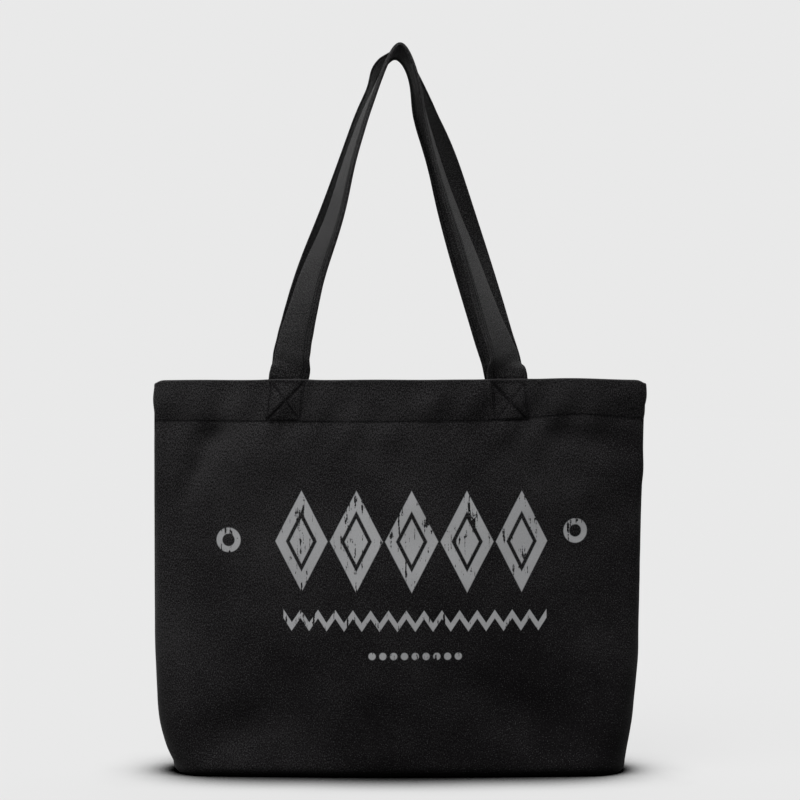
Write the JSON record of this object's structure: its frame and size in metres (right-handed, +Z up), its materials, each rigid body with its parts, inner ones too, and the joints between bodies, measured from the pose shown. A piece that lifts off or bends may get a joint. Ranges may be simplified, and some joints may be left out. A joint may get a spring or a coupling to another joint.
{
  "type": "canvas tote bag",
  "caption": "Standing open-topped canvas tote bag with a boxed base, a deep turned-in hem and loop handles sewn on with boxed crosses.",
  "frame": {"origin": "middle of the base, on the surface that the bag stands on", "axes": "+Z up, +X to the bag's right as its printed front is looked at, front facing -Y"},
  "size_m": [0.4314, 0.08, 0.6291],
  "materials": {
    "canvas": "matt woven cotton, black",
    "hem_canvas": "matt woven cotton, black",
    "handle_canvas": "matt woven cotton, black",
    "overlocked_seam": "matt looped thread over cotton, black",
    "sewing_thread": "spun thread, black",
    "print_ink": "worn matt ink on cotton, grey"
  },
  "bodies": {
    "bag": {"front_panel": "canvas", "back_panel": "canvas", "front_hem_facing": "hem_canvas", "back_hem_facing": "hem_canvas", "front_left_strap_end": "handle_canvas", "front_right_strap_end": "handle_canvas", "back_left_strap_end": "handle_canvas", "back_right_strap_end": "handle_canvas", "front_left_cross_stitch": "sewing_thread", "front_right_cross_stitch": "sewing_thread", "back_left_cross_stitch": "sewing_thread", "back_right_cross_stitch": "sewing_thread", "front_hem_stitch": "sewing_thread", "back_hem_stitch": "sewing_thread", "left_side_seam": "overlocked_seam", "right_side_seam": "overlocked_seam", "base_seam": "overlocked_seam", "left_corner_seam": "overlocked_seam", "right_corner_seam": "overlocked_seam"},
    "front_handle": {"front_handle": "handle_canvas", "front_handle_stitch": "sewing_thread"},
    "back_handle": {"back_handle": "handle_canvas", "back_handle_stitch": "sewing_thread"}
  },
  "joints": [
    {"name": "front_handle_swing", "type": "hinge", "parent": "bag", "child": "front_handle", "pos_m": [0, -0.02374, 0.3412], "axis": [1, 0, 0], "range_deg": [0, 150]},
    {"name": "back_handle_swing", "type": "hinge", "parent": "bag", "child": "back_handle", "pos_m": [0, 0.02374, 0.3412], "axis": [-1, 0, 0], "range_deg": [0, 150]}
  ]
}
